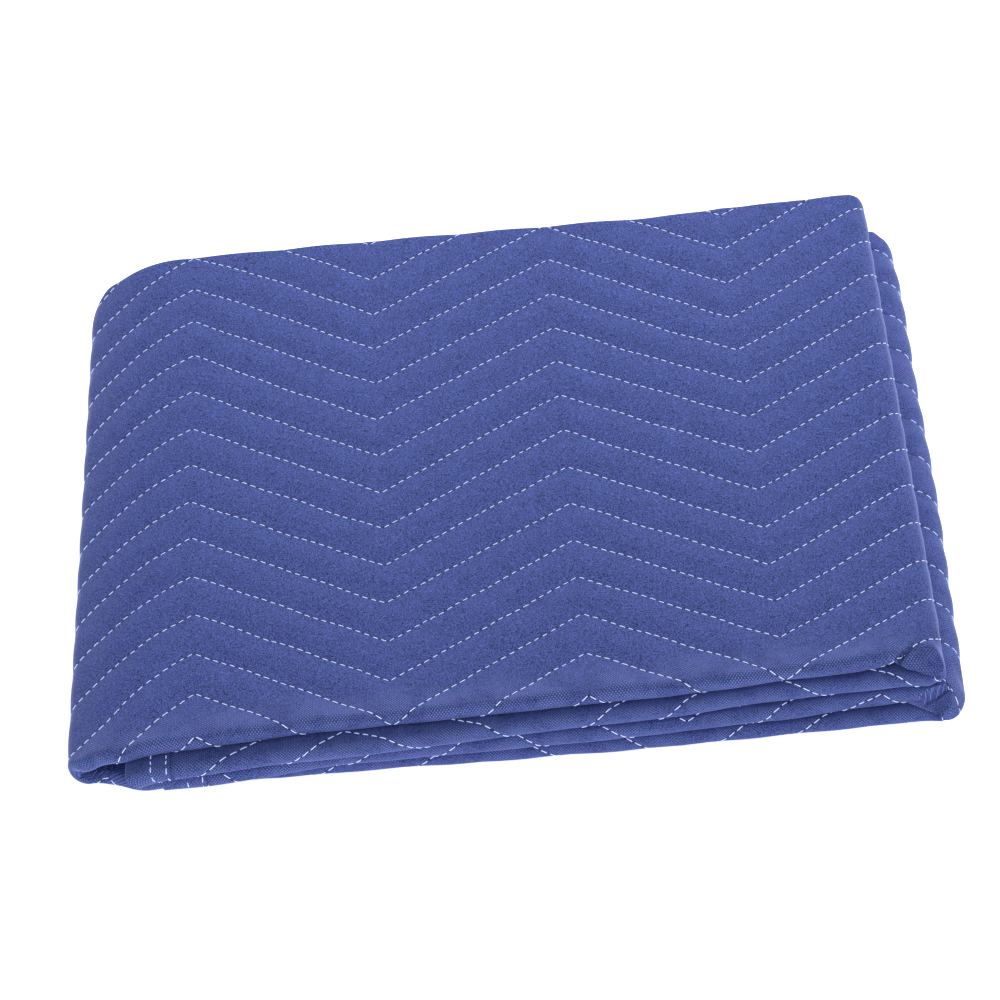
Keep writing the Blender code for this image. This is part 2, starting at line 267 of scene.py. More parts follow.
# Places on the cloth where the sewn rows are pulled out of line, by how far right and how far back. The
# last is on the lower right fold, reckoned as if the top ran on to it.
pulls = makeTable("x y wideX wideY right back", [
    (0.245, 0.000, 0.050, 0.600, 0.0, 0.0050),
    (0.240, 0.210, 0.050, 0.080, 0.0, 0.0035),
    (0.150, 0.135, 0.080, 0.055, -0.0020, -0.0035),
    (0.165, 0.020, 0.060, 0.060, 0.0, 0.0014),
    (0.150, -0.160, 0.080, 0.050, 0.0, 0.0015),
    (0.140, -0.220, 0.110, 0.045, 0.0008, 0.0065),
    (0.225, -0.212, 0.014, 0.016, 0.0, 0.0006),
    (0.065, -0.155, 0.050, 0.035, 0.0012, 0.0020),
    (-0.060, 0.230, 0.090, 0.040, 0.0, 0.0040),
    (-0.130, 0.210, 0.045, 0.070, 0.0, 0.0030),
    (-0.205, 0.150, 0.060, 0.090, 0.0, 0.0056),
    (-0.085, -0.030, 0.065, 0.130, 0.0, -0.0032),
    (-0.190, -0.010, 0.050, 0.100, -0.0026, 0.0),
    (-0.240, -0.222, 0.045, 0.042, 0.0, -0.0120),
    (-0.282, -0.218, 0.011, 0.022, 0.0, 0.0110),
    (-0.266, 0.228, 0.032, 0.024, 0.0, -0.0074),
    (-0.807, 0.150, 0.060, 0.120, 0.0, 0.0046),
])


# The sum of the pulls at a place on the cloth: each falls off as a bell along and across.
def pulled(place, across):
    right, back = np.zeros_like(place), np.zeros_like(place)
    for pull in pulls:
        fromX = topOrigin - place - pull["x"]
        fromY = across + quilting["frontY"] - pull["y"]
        bell = np.exp(-(fromX / pull["wideX"]) ** 2 - (fromY / pull["wideY"]) ** 2)
        right, back = right + pull["right"] * bell, back + pull["back"] * bell
    return right, back


# Where a point of the strip is on the quilted cloth before it was folded: along it less the turn of the
# fold and the slip, across it with the gathering, then moved back by the pulls.
def quiltPlace(s, u, y):
    gathered = u + alongStrip("gather", s, slips) * np.clip(u, -gatherReach, gatherReach)
    place = s - alongStrip("shear", s) * y / folding["middleDepth"] - alongStrip("along", s, slips)
    across = gathered + alongStrip("shift", s) - alongStrip("across", s, slips)
    right, back = pulled(place, across)
    return place + right, across - back


# The other way: from a place on the quilted cloth to the strip, by stepping towards it a few times.
def stripPlace(place, across):
    s, u = place, across - alongStrip("shift", place)
    for step in range(quilting["searchSteps"]):
        y = stripSection(u, 0.0 * u, *edgesAt(s), folding["halfWidth"])[1]
        reachedPlace, reachedAcross = quiltPlace(s, u, y)
        s, u = s + place - reachedPlace, u + (across - reachedAcross) / quilting["searchEase"]
    return s, u


# How far a zigzag has come down from its peak at this place: a straight sided wave.
def zigzag(place):
    leg = quilting["leg"]
    fromPeak = np.abs((place - peakPlace + leg) % (2 * leg) - leg)
    return quilting["reach"] * fromPeak / leg


# Slow waves that keep the sewn rows from being ruled lines, each a sine over the cloth.
def rowWander(place, across):
    turns = [place * wave["along"] + across * wave["across"] + wave["phase"] for wave in rowWaves]
    return quilting["wander"] * sum(wave["high"] * np.sin(turn) for wave, turn in zip(rowWaves, turns))


# Which row a point is on, as a number that is whole on each sewn line.
def rowNumber(place, across):
    return (across - rowWander(place, across) + zigzag(place) - quilting["peakRow"]) / quilting["rowPitch"]


# Creases and dips pressed into the top, each a soft trough or ridge along a line.
topCreases = makeTable("x y long wide turn height", [
    (0.148, 0.022, 0.055, 0.0040, -2.0, -0.0006),
    (0.150, 0.015, 0.050, 0.0050, -2.0, 0.0004),
    (-0.036, -0.130, 0.022, 0.0050, -38.0, 0.0006),
    (-0.008, -0.150, 0.020, 0.0045, -35.0, 0.0005),
    (0.006, -0.138, 0.018, 0.0040, -30.0, -0.0005),
    (-0.010, -0.176, 0.012, 0.0035, 80.0, 0.0004),
    (0.022, -0.200, 0.016, 0.0040, -50.0, 0.0004),
    (0.155, 0.152, 0.018, 0.0050, 12.0, -0.0005),
    (-0.095, -0.060, 0.040, 0.0120, 20.0, 0.0006),
    (0.060, 0.100, 0.050, 0.0140, -15.0, -0.0006),
])


# The sum of the creases: each falls off as a bell along and across its own line.
def creaseHeight(x, y):
    total = np.zeros_like(x)
    for crease in topCreases:
        angle = math.radians(crease["turn"])
        along = (x - crease["x"]) * math.cos(angle) + (y - crease["y"]) * math.sin(angle)
        across = (y - crease["y"]) * math.cos(angle) - (x - crease["x"]) * math.sin(angle)
        bell = np.exp(-(along / crease["long"]) ** 2 - (across / crease["wide"]) ** 2)
        total = total + crease["height"] * bell
    return total


# Pleats where the cloth is gathered round the wrap's lower half: the share of it where they start and
# their pitch, depth, lean and sharpness. Each pair is where they are nothing and where they are full:
# past their start, past the wrap's end, on the outside of the fold and inside it.
pleats = {
    "from": 0.50,
    "pitch": 0.0034,
    "deep": 0.0019,
    "lean": 0.9,
    "sharpness": 1.4,
    "begin": (0.0, 0.003),
    "end": (0.008, 0.004),
    "outside": (0.0020, -0.0015),
    "inside": (-0.018, -0.012),
}


# Furrows by a power of a sine wave along the cloth, raised to stay above nothing.
def pleatDepth(s, u):
    first = placeOn("wrap", pleats["from"])
    leaned = s + pleats["lean"] * u
    inWrap = ramp(s - first, *pleats["begin"]) * ramp(past("bottom", leaned), *pleats["end"])
    nearFold = ramp(u, *pleats["outside"]) * ramp(u, *pleats["inside"])
    wave = 0.5 + 0.5 * np.sin(2 * math.pi * (leaned - first) / pleats["pitch"])
    return pleats["deep"] * inWrap * nearFold * wave ** pleats["sharpness"]


# The puffing between rows: its height, the power that shapes it, and the share taken off all over, which
# keeps the face in its place. Each pair is where it is nothing and where it is full: past the start of
# one piece of the strip, past the start of another, and from the front fold.
puffing = {row["where"]: row for row in makeTable("where height power taken after fadeIn until fadeOut fold", [
    ("top", 0.0017, 0.6, 0.45, "top", (-0.020, 0.0), "wrap", (0.018, 0.006), (-0.004, 0.006)),
    ("under", 0.0006, 1.0, 1.0, "bottom", (-0.004, 0.0), "lowerRight", (0.0, -0.004), (0.001, 0.003)),
    ("turn", 0.0009, 0.5, 0.8, "lowerRight", (0.004, 0.010), "lowerInner", (0.012, 0.0), (0.020, 0.040)),
])}
innerPuffing = {"height": 0.00028, "power": 1.0, "taken": 0.6}
overTurns = {"share": 0.45, "beforeWrap": (-0.005, -0.035), "beforeBack": (-0.004, -0.034)}


# Height times the power of how far between rows a point is, less the share taken off.
def puffHeight(kind, between):
    return kind["height"] * (between ** kind["power"] - kind["taken"])


# The product of the three fades of one kind of puffing.
def fadedIn(kind, s, u):
    along = ramp(past(kind["after"], s), *kind["fadeIn"]) * ramp(past(kind["until"], s), *kind["fadeOut"])
    return along * ramp(u, *kind["fold"])


# How far the outer face stands off its even thickness, by a power of the sine of the row number. On the
# top the cloth puffs up most, with a share of it left over the turns. On the underside it only draws in
# at the rows, the lower right turn has scallops, and on the inner levels the plies lie on each other.
def quiltRelief(s, u, place, across, x, y):
    between = np.sin(math.pi * rowNumber(place, across)) ** 2
    small = puffHeight(innerPuffing, between)
    high, low, scallop = (puffHeight(puffing[where], between) for where in ("top", "under", "turn"))
    onTop, under, atTurn = (fadedIn(puffing[where], s, u) for where in ("top", "under", "turn"))
    level = ramp(past("wrap", s), *overTurns["beforeWrap"])
    level = level * ramp(y - alongStrip("back", s), *overTurns["beforeBack"])
    high = high * (overTurns["share"] + (1.0 - overTurns["share"]) * level) + creaseHeight(x, y)
    relief = small + onTop * (high - small) - pleatDepth(s, u) + atTurn * scallop
    return relief + under * (low - relief)


# The corners of the two double folds at the right, upper and lower. From above, a slanting line parts the
# roll of the front fold from a flat facet that slopes down to the front. The gap between the levels runs
# down to the corner, under the facet's edge the fold is tucked back, and the turn is rounded off.
corners = makeTable(
    "lineX lineY lineSlope fromX facetY facetZ floor gapFromX gapToX "
    "gapPower gapCurve tuckFromX tuckToX roundFrom rounding", [
        (0.2310, -0.2040, 0.86, 0.2155, -0.2060, 0.0445, 0.0232, 0.2225, 0.2442,
         0.85, 1.0, 0.2160, 0.2480, -0.212, 0.0),
        (0.2400, -0.2190, 0.35, 0.2290, -0.2110, 0.0215, 0.0002, 0.2290, 0.2530,
         2.30, 2.0, 0.2300, 0.2560, -0.203, 0.0105),
    ])

# What both corners share. Shares are of the way from floor to roof, and a pair is where a move is nothing
# and where it is full.
corner = {
    "tall": 0.0224,
    "leastShare": 0.001,
    "front": (-0.188, -0.204),
    "gapReach": 1.2,
    "tuckDepth": 0.0060,
    "tuckAbove": (0.48, 0.51),
    "tuckBelow": (0.70, 0.58),
    "facetSlope": 0.79,
    "facetFrom": 0.53,
    "facetTo": 1.08,
    "facetSoft": 0.0006,
    "facetNear": (-0.0012, 0.0),
    "facetLine": (-0.0005, 0.0005),
    "crevice": 0.0024,
    "creviceWide": 0.0007,
    "creviceNear": (0.0, 0.0008),
    "turn": (-0.010, 0.0),
    "roundOver": 0.025,
}


# The y of the slanting line at x, for one of the two corners.
def cornerLine(x, place):
    return place["lineY"] + place["lineSlope"] * (x - place["lineX"])


# The share of the height is raised to a power that grows towards the corner, which lowers the gap. The
# lower half is tucked back by a half sine along x. In front of the slanting line the face is held under
# the facet's plane by a soft minimum, with a narrow crevice along the line. The turn moves in by the
# square of the way past roundFrom.
def tuckCorners(x, y, z, h):
    for place in corners:
        share = (z - place["floor"]) / corner["tall"]
        level = (share > 0.0) & (share < 1.0)
        atFront = ramp(y, *corner["front"])
        reach = (x - place["gapFromX"]) / (place["gapToX"] - place["gapFromX"])
        reach = np.clip(reach, 0.0, corner["gapReach"])
        power = 1.0 + place["gapPower"] * reach ** place["gapCurve"] * atFront
        lowered = place["floor"] + corner["tall"] * np.clip(share, corner["leastShare"], 1.0) ** power
        along = np.clip((x - place["tuckFromX"]) / (place["tuckToX"] - place["tuckFromX"]), 0.0, 1.0)
        lowerHalf = ramp(share, *corner["tuckAbove"]) * ramp(share, *corner["tuckBelow"])
        y = y + corner["tuckDepth"] * np.sin(math.pi * along) * lowerHalf * atFront
        z = np.where(level, lowered, z)
        high = z - (place["facetZ"] + corner["facetSlope"] * (y - place["facetY"]) + h - halfCloth)
        fromLine = cornerLine(x, place) - y
        onFacet = (share > corner["facetFrom"]) * (share < corner["facetTo"]) * (x > place["fromX"])
        over = 0.5 * (high + np.sqrt(high**2 + corner["facetSoft"] ** 2)) * ramp(high, *corner["facetNear"])
        bell = np.exp(-((fromLine / corner["creviceWide"] - 1.0) ** 2))
        crevice = corner["crevice"] * bell * ramp(high, *corner["creviceNear"])
        z = z - (over + crevice) * ramp(fromLine, *corner["facetLine"]) * onFacet
        beyond = np.clip(place["roundFrom"] - y, 0.0, None) / corner["roundOver"]
        x = x - place["rounding"] * ramp(x - place["gapToX"], *corner["turn"]) * level * beyond**2
    return x, y, z


# The upper end leans: low in its level, near the end and at the front, the cloth moves right. Each pair is
# where the move is nothing and where it is full.
lean = {"height": (0.0290, 0.0200), "fromEnd": (0.070, 0.025), "depth": (-0.180, -0.220), "right": 0.0034}


def leanEnd(s, x, y, z):
    return x + lean["right"] * ramp(z, *lean["height"]) * ramp(s, *lean["fromEnd"]) * ramp(y, *lean["depth"])


# The right edge of the lower levels: it bows out in the middle and draws in at the back.
edgeBow = {
    "atX": (0.200, 0.240),
    "under": 0.0230,
    "out": 0.0014,
    "middle": -0.035,
    "half": 0.130,
    "in": 0.0026,
    "inFrom": 0.150,
    "inOver": 0.070,
    "inLimit": 1.2,
}


# Out by the square of a parabola along the depth, in by the square of the way past inFrom.
def bowEdge(x, y, z):
    lowerRight = ramp(x, *edgeBow["atX"]) * (z < edgeBow["under"])
    bow = np.clip(1.0 - ((y - edgeBow["middle"]) / edgeBow["half"]) ** 2, 0.0, None) ** 2
    drawn = np.clip((y - edgeBow["inFrom"]) / edgeBow["inOver"], 0.0, edgeBow["inLimit"]) ** 2
    return x + lowerRight * (edgeBow["out"] * bow - edgeBow["in"] * drawn)


# A place on the cloth carried to its folded position: the strip's line, plus the section's rise along
# the direction out of the turns, plus the slant, the relief of the outer face and the tucks.
def clothPoint(s, u, h):
    s, u, h = np.broadcast_arrays(np.asarray(s, float), np.asarray(u, float), np.asarray(h, float))
    x, z, outX, outZ = stripLine(s)
    section = (*edgesAt(s), edgePlace(s, u))
    slant = alongStrip("slant", s) / folding["middleDepth"]
    y = stripSection(u, h, *section)[1]
    place, across = quiltPlace(s, u, y)
    relief = ramp(h, 0.0, halfCloth) * quiltRelief(s, u, place, across, x + slant * y, y)
    rise, y = stripSection(u, h + relief, *section)
    x, z = x + outX * rise + slant * y, z + outZ * rise
    x = bowEdge(leanEnd(s, x, y, z), y, z)
    return np.stack(tuckCorners(x, y, z, h), axis=-1)


# The tape over each short end of the cloth: its width on each face, and its two sewn rows from the end.
# Pressed is how far from the end the cloth is pressed thin under it, and slope where it is full again.
binding = {
    "width": 0.026,
    "tapeThick": 0.0005,
    "gap": 0.0003,
    "pressed": 0.0263,
    "slope": 0.0270,
    "rows": (0.0152, 0.0238),
    "stitchPitch": 0.0050,
    "stitchHalf": 0.33,
    "stagger": 0.4,
    "halfRow": 0.46,
    "unevenTurn": 0.0003,
    "roundSteps": 6,
    "faceSteps": 6,
    "plySteps": 24,
}


# Half the cloth's thickness. Under the bindings it is pressed thin, with a short slope beside each.
def halfThick(s):
    thin = halfCloth - binding["tapeThick"] - binding["gap"]
    ends = np.array([0.0, binding["pressed"], binding["slope"]])
    places = np.concatenate([ends, flatLength - ends[::-1]])
    return np.interp(s, places, [thin, thin, halfCloth, halfCloth, thin, thin])


# The cloth's mesh: steps along it, each up to a share of a run or turn, and the number of steps across in
# each band from the front fold to a long edge. The inner face is coarse, as it is unseen. Close steps run
# over the corners' slanting line, from lineBefore to lineAfter about it.
clothMesh = {
    "along": [
        ("upperInner", 0.88, 0.0090), ("upperInner", 1.0, 0.0024), ("upperRight", 1.0, 0.0014),
        ("top", 0.10, 0.0011), ("top", 0.16, 0.0018), ("top", 1.0, 0.0026), ("droop", 1.0, 0.0024),
        ("wrap", 0.45, 0.0012), ("wrap", 1.0, 0.0007), ("bottom", 0.03, 0.0007), ("bottom", 0.13, 0.0030),
        ("bottom", 0.94, 0.0090), ("bottom", 1.0, 0.0024), ("lowerRight", 1.0, 0.0014),
        ("lowerInner", 0.10, 0.0016), ("lowerInner", 1.0, 0.0090), ("lowerEnd", 1.0, 0.0040),
    ],
    "insideAlong": [
        ("upperInner", 1.0, 0.0300), ("upperRight", 1.0, 0.0040), ("top", 0.12, 0.0060), ("top", 1.0, 0.0300),
        ("droop", 1.0, 0.0080), ("wrap", 1.0, 0.0040), ("bottom", 0.13, 0.0100), ("bottom", 1.0, 0.0300),
        ("lowerRight", 1.0, 0.0040), ("lowerInner", 1.0, 0.0300), ("lowerEnd", 1.0, 0.0040),
    ],
    "upperPly": {"fold": 10, "step": 8, "near": 13, "face": 102, "turn": 6, "inner": 2},
    "lowerPly": {"fold": 9, "step": 1, "near": 5, "face": 3, "turn": 5, "inner": 2},
    "inside": {"fold": 6, "step": 1, "near": 3, "face": 4, "turn": 4, "inner": 2},
    "plainReach": 0.0080,
    "lineReach": (0.0030, 0.0220),
    "lineBefore": 0.0018,
    "lineAfter": 0.0006,
    "lineFade": 0.004,
    "nearLength": 0.020,
    "endRoom": 0.002,
}


# Distances from an end where the cloth and the tape over it bend together, up to the tape's selvedge.
def bindingLines():
    return np.linspace(halfCloth, binding["width"], binding["faceSteps"] + 1)[:-1]


# Places along the cloth: even steps in each band, then the bindings' edges put in beside the ends.
def linesAlong(bands):
    lines = []
    reached = 0.0
    for on, until, step in bands:
        end = placeOn(on, until)
        lines.append(np.linspace(reached, end, max(1, round((end - reached) / step)) + 1)[1:])
        reached = end
    lines = np.concatenate(lines)
    ends = np.array([*bindingLines(), binding["pressed"], binding["slope"]])
    room = ends[-1] + clothMesh["endRoom"]
    inside = lines[(lines > room) & (lines < flatLength - room)]
    return np.concatenate([ends, inside, flatLength - ends[::-1]])


# Distances from the front fold to a long edge, one row for each place along: up to the corners' slanting
# line, close steps over it, a stretch behind it, the rest of the ply, the tight turn and the inner ply.
def linesToEdge(s, steps, edge):
    (front, back), x = edgesAt(s), stripLine(s)[0]
    turn = backTurn(front, back)
    upper, lower = corners
    place = {key: upper[key] + (lower[key] - upper[key]) * (past("bottom", s) > 0.0) for key in upper}
    behind = cornerLine(x, place) - front - halfCloth - outerPly
    onFold = outerPly * np.arccos(np.clip(-behind / (outerPly + halfCloth), 0.0, 1.0))
    reach = np.clip(np.where(behind > 0.0, quarterFold + behind, onFold), *clothMesh["lineReach"])
    plain = clothMesh["plainReach"]
    reach = plain + (reach - plain) * ramp(x - place["fromX"], -clothMesh["lineFade"], 0.0)
    marks = [reach - clothMesh["lineBefore"], reach + clothMesh["lineAfter"], reach + clothMesh["nearLength"],
             turn, turn + backFold, edge]
    first = np.zeros((len(s), 1))
    parts = [first]
    for last, band in zip(marks, ("fold", "step", "near", "face", "turn", "inner")):
        share = np.linspace(0.0, 1.0, steps[band] + 1)[1:]
        last = (last + np.zeros_like(s))[:, None]
        parts.append(first + (last - first) * share)
        first = last
    return np.concatenate(parts, axis=1)


# The same on both sides of the front fold.
def linesAcross(s, upper, lower):
    over = linesToEdge(s, upper, edgePlace(s, 1.0))
    under = linesToEdge(s, lower, edgePlace(s, -1.0))
    return np.concatenate([-under[:, :0:-1], over], axis=1)


# The quads of a grid of vertex numbers, each from four neighbours.
def gridQuads(numbers):
    around = [numbers[:-1, :-1], numbers[1:, :-1], numbers[1:, 1:], numbers[:-1, 1:]]
    return np.stack([corner.ravel() for corner in around], axis=1)


# Joins two rows of vertices that run side by side. The steps of both are taken in the order of their
# places, and each makes one triangle with the last vertex reached on the other row.
def zipRows(rowA, placesA, rowB, placesB):
    order = np.argsort(np.concatenate([placesA[1:], placesB[1:]]), kind="stable")
    onA = order < len(placesA) - 1
    reachedA, reachedB = np.cumsum(onA), np.cumsum(~onA)
    fromA, fromB = rowA[reachedA - onA], rowB[reachedB - ~onA]
    return np.stack([fromA, fromB, np.where(onA, rowA[reachedA], rowB[reachedB])], axis=1)


# A mesh object from arrays of points, quads and triangles.
def meshPiece(name, points, quads, tris):
    mesh = bpy.data.meshes.new(name)
    loops = np.concatenate([quads.ravel(), tris.ravel()]).astype(np.int32)
    starts = np.concatenate([np.arange(len(quads)) * 4, len(quads) * 4 + np.arange(len(tris)) * 3])
    mesh.vertices.add(len(points))
    mesh.vertices.foreach_set("co", np.asarray(points, np.float32).ravel())
    mesh.loops.add(len(loops))
    mesh.loops.foreach_set("vertex_index", loops)
    mesh.polygons.add(len(starts))
    mesh.polygons.foreach_set("loop_start", starts.astype(np.int32))
    mesh.update(calc_edges=True)
    mesh.validate()
    mesh.shade_smooth()
    piece = bpy.data.objects.new(name, mesh)
    bpy.context.scene.collection.objects.link(piece)
    return piece


# Turns all faces of a closed mesh outwards.
def faceOutwards(piece):
    work = bmesh.new()
    work.from_mesh(piece.data)
    bmesh.ops.recalc_face_normals(work, faces=work.faces)
    work.to_mesh(piece.data)
    work.free()


# Writes a UV map from one pair of numbers for each vertex.
def vertexMap(piece, name, pairs):
    loops = np.empty(len(piece.data.loops), np.int32)
    piece.data.loops.foreach_get("vertex_index", loops)
    layer = piece.data.uv_layers.new(name=name)
    layer.data.foreach_set("uv", np.asarray(pairs, np.float32)[loops].ravel())


# Where the face counts as pulled smooth, which strengthens its bonded dots and draws out its grain: near the
# front fold unless the cloth is stretched there, and by this share on the inner levels. Over the crest of
# the upper right turn the same mark is a painted highlight, a pale line of stronger dots. Each pair is where
# it is nothing and where it is full.
smoothingAndCrestHighlight = {
    "fold": (0.032, 0.010),
    "stretch": (2.2, 1.6),
    "crestHighlightAt": 0.60,
    "crestHighlightWide": 0.0024,
    "crestHighlightPly": (0.0, 0.010),
    "inner": 0.7,
    "topBegin": (0.0, 0.020),
    "topEnd": (0.005, -0.005),
}


# The two maps that the finishes read. "flat" is the place on the flat cloth in metres. "rows" is the
# row number, which is whole on each sewn line, and how far the face is pulled smooth, painted crest highlight
# included.
def clothMaps(piece, s, u):
    y = stripSection(u, 0.0 * u, *edgesAt(s), edgePlace(s, u))[1]
    place, across = quiltPlace(s, u, y)
    step = clothPoint(s, u + nudge, halfCloth) - clothPoint(s, u, halfCloth)
    stretch = np.linalg.norm(step, axis=-1) / nudge
    smoothAndHighlight = ramp(np.abs(u), *smoothingAndCrestHighlight["fold"]) * ramp(stretch, *smoothingAndCrestHighlight["stretch"])
    # The crest of the upper right turn gets a painted highlight: a pale line of stronger dots.
    crestHighlight = np.exp(-((s - placeOn("upperRight", smoothingAndCrestHighlight["crestHighlightAt"])) / smoothingAndCrestHighlight["crestHighlightWide"]) ** 2)
    smoothAndHighlight = np.maximum(smoothAndHighlight, crestHighlight * ramp(u, *smoothingAndCrestHighlight["crestHighlightPly"]))
    outside = ramp(past("upperRight", s), *smoothingAndCrestHighlight["topBegin"]) * ramp(past("bottom", s), *smoothingAndCrestHighlight["topEnd"])
    smoothAndHighlight = np.maximum(smoothAndHighlight, smoothingAndCrestHighlight["inner"] * (1.0 - outside))
    vertexMap(piece, "flat", np.stack([place, across], axis=-1))
    vertexMap(piece, "rows", np.stack([rowNumber(place, across), smoothAndHighlight], axis=-1))


# The whole cloth as one closed piece: a fine grid for the face that shows, a coarse one for the other
# face, and the four edges between them zipped shut.
def makeCloth():
    s = linesAlong(clothMesh["along"])
    u = linesAcross(s, clothMesh["upperPly"], clothMesh["lowerPly"])
    insideS = linesAlong(clothMesh["insideAlong"])
    insideU = linesAcross(insideS, clothMesh["inside"], clothMesh["inside"])
    outer = clothPoint(s[:, None], u, halfThick(s)[:, None])
    inner = clothPoint(insideS[:, None], insideU, -halfThick(insideS)[:, None])
    outerNumbers = np.arange(u.size).reshape(u.shape)
    innerNumbers = u.size + np.arange(insideU.size).reshape(insideU.shape)
    rims = [zipRows(outerNumbers[end], u[end], innerNumbers[end], insideU[end]) for end in (0, -1)]
    rims += [zipRows(outerNumbers[:, side], s, innerNumbers[:, side], insideS) for side in (0, -1)]
    points = np.concatenate([outer.reshape(-1, 3), inner.reshape(-1, 3)])
    quads = np.concatenate([gridQuads(outerNumbers), gridQuads(innerNumbers)])
    cloth = meshPiece("quiltedCloth", points, quads, np.concatenate(rims))
    faceOutwards(cloth)
    allS = np.concatenate([np.repeat(s, u.shape[1]), np.repeat(insideS, insideU.shape[1])])
    clothMaps(cloth, allS, np.concatenate([u.ravel(), insideU.ravel()]))
    return cloth


# A tape folded over one end: a closed ring of its cross-section carried across the cloth. The ring goes
# along the outer face, round the end and back, then the same way home inside.
def makeBinding(name, atStart):
    angles = np.linspace(math.pi / 2, -math.pi / 2, binding["roundSteps"] + 1)
    edges = np.concatenate([[binding["width"]], bindingLines()[:0:-1]])
    reach, height = [], []
    for thick, order in ((halfCloth, 1), (halfCloth - binding["tapeThick"], -1)):
        level = [np.full(len(edges), thick), thick * np.sin(angles), np.full(len(edges), -thick)]
        reach.append(np.concatenate([edges, halfCloth - thick * np.cos(angles), edges[::-1]])[::order])
        height.append(np.concatenate(level)[::order])
    reach, height = np.concatenate(reach), np.concatenate(height)
    s = reach if atStart else flatLength - reach
    end = np.array([0.0 if atStart else flatLength])
    steps = dict(clothMesh["upperPly"], face=binding["plySteps"])
    u = linesAcross(end, steps, clothMesh["lowerPly"])[0]
    points = clothPoint(s[:, None], u[None, :], height[:, None])
    numbers = np.arange(s.size * u.size).reshape(len(s), len(u))
    ring = np.concatenate([numbers, numbers[:1]])
    count = len(s) // 2
    caps = [np.stack([numbers[:count, side], numbers[: count - 1 : -1, side]]) for side in (0, -1)]
    quads = np.concatenate([gridQuads(ring)] + [gridQuads(cap) for cap in caps])
    tape = meshPiece(name, points.reshape(-1, 3), quads, np.empty((0, 3), int))
    faceOutwards(tape)
    clothMaps(tape, np.repeat(s, len(u)), np.tile(u, len(s)))
    return tape


# The thread: a stitch lies on the face between two needle holes and dips into it at both ends. It takes
# this share of the pitch, with four points at these shares of its half length, each with a lift off the
# face and a width. The uneven values are how far the seeded draw goes.
thread = {
    "stitchesPerLeg": 23,
    "share": 0.80,
    "radius": 0.00028,
    "along": (-1.0, -0.45, 0.45, 1.0),
    "lift": (-0.00024, 0.00022, 0.00022, -0.00024),
    "width": (0.6, 1.0, 1.0, 0.6),
    "flattened": 0.8,
    "sides": 5,
    "unevenLength": 0.10,
    "unevenTurn": 0.05,
    "unevenPlace": 0.00016,
}

# How far from the front fold, the tight turns and the ends stitches are made.
seen = {"upperFrom": -0.002, "nearFold": 0.026, "bindingNearFold": 0.045, "beforeTurn": 0.010, "endRoom": 0.004}


# Stitches from their middles and half lengths on the flat cloth. Each is a ring of a few corners carried
# along four points, set out on the face's own normal, and closed with two caps.
def makeStitches(name, middles, halves, carry):
    flat = middles[:, None, :] + np.array(thread["along"])[None, :, None] * halves[:, None, :]
    s, u = carry(flat[..., 0], flat[..., 1])
    height = halfCloth + np.array(thread["lift"])
    points = clothPoint(s, u, height)
    normals = clothPoint(s, u, height + nudge) - points
    ways = np.gradient(points, axis=1)
    ways = ways / np.linalg.norm(ways, axis=-1, keepdims=True)
    normals = normals - ways * np.sum(normals * ways, axis=-1, keepdims=True)
    normals = normals / np.linalg.norm(normals, axis=-1, keepdims=True)
    sides = thread["sides"]
    angles = (np.arange(sides) * 2 * math.pi / sides)[:, None]
    radii = thread["radius"] * np.array(thread["width"])[None, :, None, None]
    sideways = np.cross(ways, normals)[:, :, None, :] * np.cos(angles)
    upwards = normals[:, :, None, :] * (thread["flattened"] * np.sin(angles))
    rings = points[:, :, None, :] + radii * (sideways + upwards)
    first = np.arange(len(middles))[:, None, None] * 4 * sides
    ring, side = np.meshgrid(np.arange(3) * sides, np.arange(sides), indexing="ij")
    beside = (side + 1) % sides
    quads = np.stack([ring + side, ring + beside, ring + sides + beside, ring + sides + side], axis=-1)
    quads = (first + quads.reshape(1, -1, 4)).reshape(-1, 4)
    fan = np.stack([np.zeros(sides - 2, int), np.arange(1, sides - 1), np.arange(2, sides)], axis=-1)
    tris = np.concatenate([fan[:, ::-1], fan + 3 * sides])
    tris = (first + tris.reshape(1, -1, 3)).reshape(-1, 3)
    rings = rings.reshape(-1, 3)
    a, b, c = rings[tris[-1]]
    if np.dot(np.cross(b - a, c - a), ways[-1, -1]) < 0:
        quads, tris = quads[:, ::-1], tris[:, ::-1]
    piece = meshPiece(name, rings, quads, tris)
    vertexMap(piece, "flat", np.repeat(flat.reshape(-1, 2), sides, axis=0))
    return piece


# The middles and half lengths of all quilting stitches, a whole number on each leg of the zigzag, and each
# turned, shortened and moved a little by a seeded draw.
def quiltingStitches():
    leg, slope, perLeg = quilting["leg"], quilting["reach"] / quilting["leg"], thread["stitchesPerLeg"]
    pitch = leg / perLeg
    firstLeg = math.floor((0.0 - peakPlace) / leg)
    lastLeg = math.ceil((flatLength - peakPlace) / leg)
    steps = np.arange(firstLeg * perLeg, lastLeg * perLeg)
    line, step = np.meshgrid(np.arange(*quilting["lines"]), steps, indexing="ij")
    line, step = line.ravel(), step.ravel()
    place = peakPlace + (step + 0.5) * pitch
    base = quilting["peakRow"] + line * quilting["rowPitch"] - zigzag(place)
    across = base + rowWander(place, base)
    slopes = np.where(np.floor_divide(step, perLeg) % 2 == 0, -slope, slope)
    draw = np.random.default_rng(5)
    length = pitch * thread["share"] / 2 * (1.0 + thread["unevenLength"] * draw.uniform(-1, 1, len(place)))
    slopes = slopes + thread["unevenTurn"] * draw.uniform(-1, 1, len(place))
    across = across + thread["unevenPlace"] * draw.uniform(-1, 1, len(place))
    return np.stack([place, across], axis=-1), np.stack([length, length * slopes], axis=-1)


